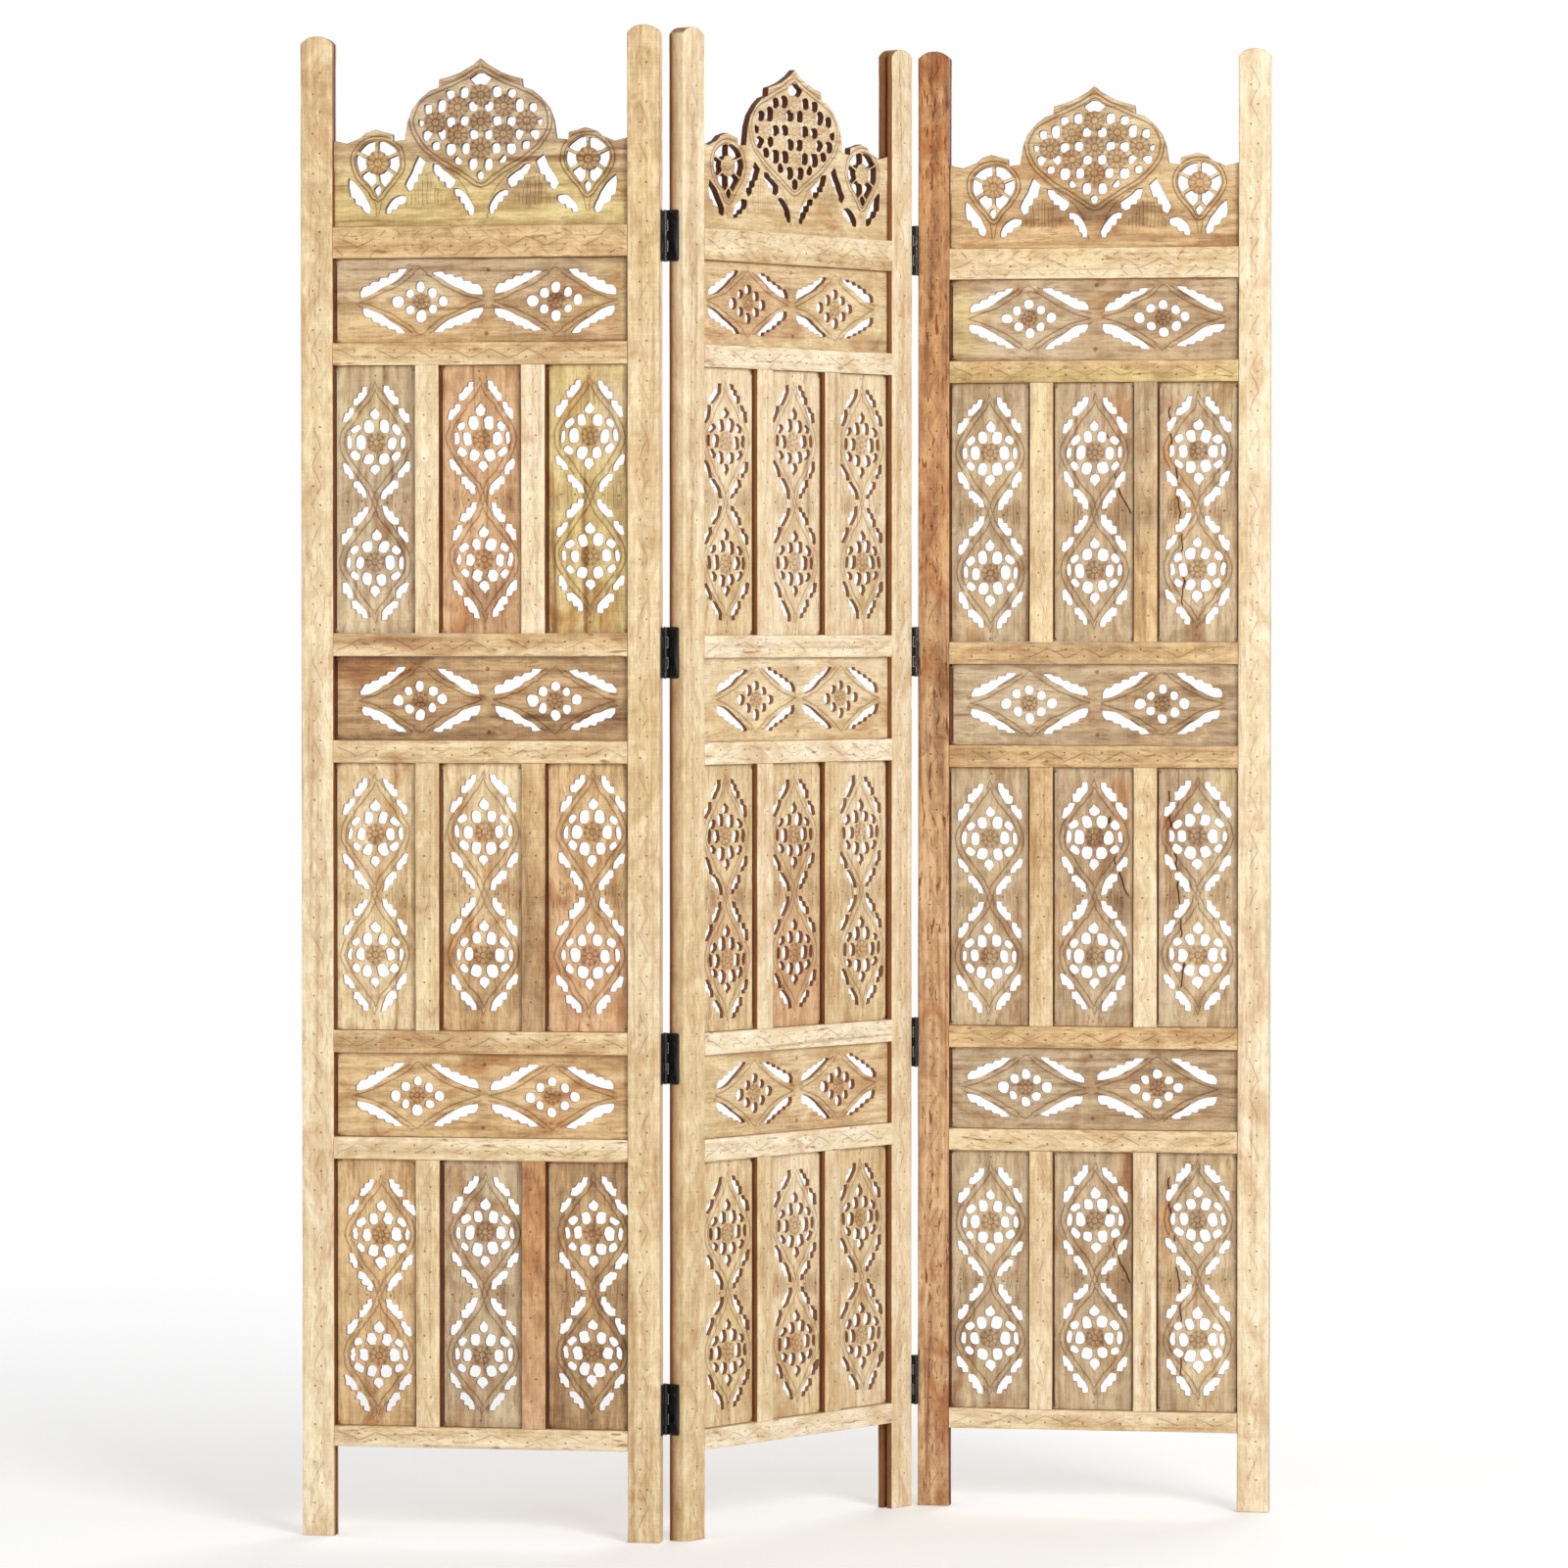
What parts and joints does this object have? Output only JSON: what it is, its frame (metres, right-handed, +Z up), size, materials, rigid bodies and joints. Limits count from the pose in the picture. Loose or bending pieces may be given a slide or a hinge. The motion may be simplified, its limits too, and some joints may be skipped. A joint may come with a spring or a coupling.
{
  "type": "carved jali folding screen",
  "caption": "Free-standing folding screen of hinged wooden panels, each a joined frame with hand-pierced jali boards under a pierced onion-dome crest.",
  "frame": {"origin": "on the floor at the centre of the middle panel, which is the centre of the whole footprint at rest", "axes": "+X along the left and right panels, from left to right; +Y away from the front; +Z up"},
  "size_m": [1.03, 0.3856, 1.653],
  "materials": {
    "frame_wood": "pale waxed mango wood, planed, with figured grain and incised lines",
    "jali_wood": "waxed mango wood, hand-pierced and incised, each board in its own tint",
    "hinge_steel": "black lacquered pressed steel, worn on the knuckles",
    "pin_steel": "drawn steel wire, bare"
  },
  "bodies": {
    "middle_panel": {"middle_panel_left_stile": "frame_wood", "middle_panel_right_stile": "frame_wood", "middle_panel_bottom_rail": "frame_wood", "middle_panel_lower_rail": "frame_wood", "middle_panel_lower_middle_rail": "frame_wood", "middle_panel_middle_rail": "frame_wood", "middle_panel_upper_middle_rail": "frame_wood", "middle_panel_upper_rail": "frame_wood", "middle_panel_top_rail": "frame_wood", "middle_panel_muntins": "frame_wood", "middle_panel_lower_tall_boards": "jali_wood", "middle_panel_middle_tall_boards": "jali_wood", "middle_panel_upper_tall_boards": "jali_wood", "middle_panel_wide_boards": "jali_wood", "middle_panel_crest": "jali_wood", "left_hinge_middle_leaves": "hinge_steel", "left_hinge_pins": "pin_steel", "right_hinge_middle_leaves": "hinge_steel", "right_hinge_pins": "pin_steel"},
    "left_panel": {"left_panel_left_stile": "frame_wood", "left_panel_right_stile": "frame_wood", "left_panel_bottom_rail": "frame_wood", "left_panel_lower_rail": "frame_wood", "left_panel_lower_middle_rail": "frame_wood", "left_panel_middle_rail": "frame_wood", "left_panel_upper_middle_rail": "frame_wood", "left_panel_upper_rail": "frame_wood", "left_panel_top_rail": "frame_wood", "left_panel_muntins": "frame_wood", "left_panel_lower_tall_boards": "jali_wood", "left_panel_middle_tall_boards": "jali_wood", "left_panel_upper_tall_boards": "jali_wood", "left_panel_wide_boards": "jali_wood", "left_panel_crest": "jali_wood", "left_hinge_outer_leaves": "hinge_steel"},
    "right_panel": {"right_panel_left_stile": "frame_wood", "right_panel_right_stile": "frame_wood", "right_panel_bottom_rail": "frame_wood", "right_panel_lower_rail": "frame_wood", "right_panel_lower_middle_rail": "frame_wood", "right_panel_middle_rail": "frame_wood", "right_panel_upper_middle_rail": "frame_wood", "right_panel_upper_rail": "frame_wood", "right_panel_top_rail": "frame_wood", "right_panel_muntins": "frame_wood", "right_panel_lower_tall_boards": "jali_wood", "right_panel_middle_tall_boards": "jali_wood", "right_panel_upper_tall_boards": "jali_wood", "right_panel_wide_boards": "jali_wood", "right_panel_crest": "jali_wood", "right_hinge_outer_leaves": "hinge_steel"}
  },
  "joints": [
    {"name": "left_hinge", "type": "hinge", "parent": "middle_panel", "child": "left_panel", "pos_m": [-0.11336, -0.16734, 0.826], "axis": [0, 0, 1], "range_deg": [-120, 60]},
    {"name": "right_hinge", "type": "hinge", "parent": "middle_panel", "child": "right_panel", "pos_m": [0.11336, 0.16734, 0.826], "axis": [0, 0, 1], "range_deg": [-120, 60]}
  ]
}
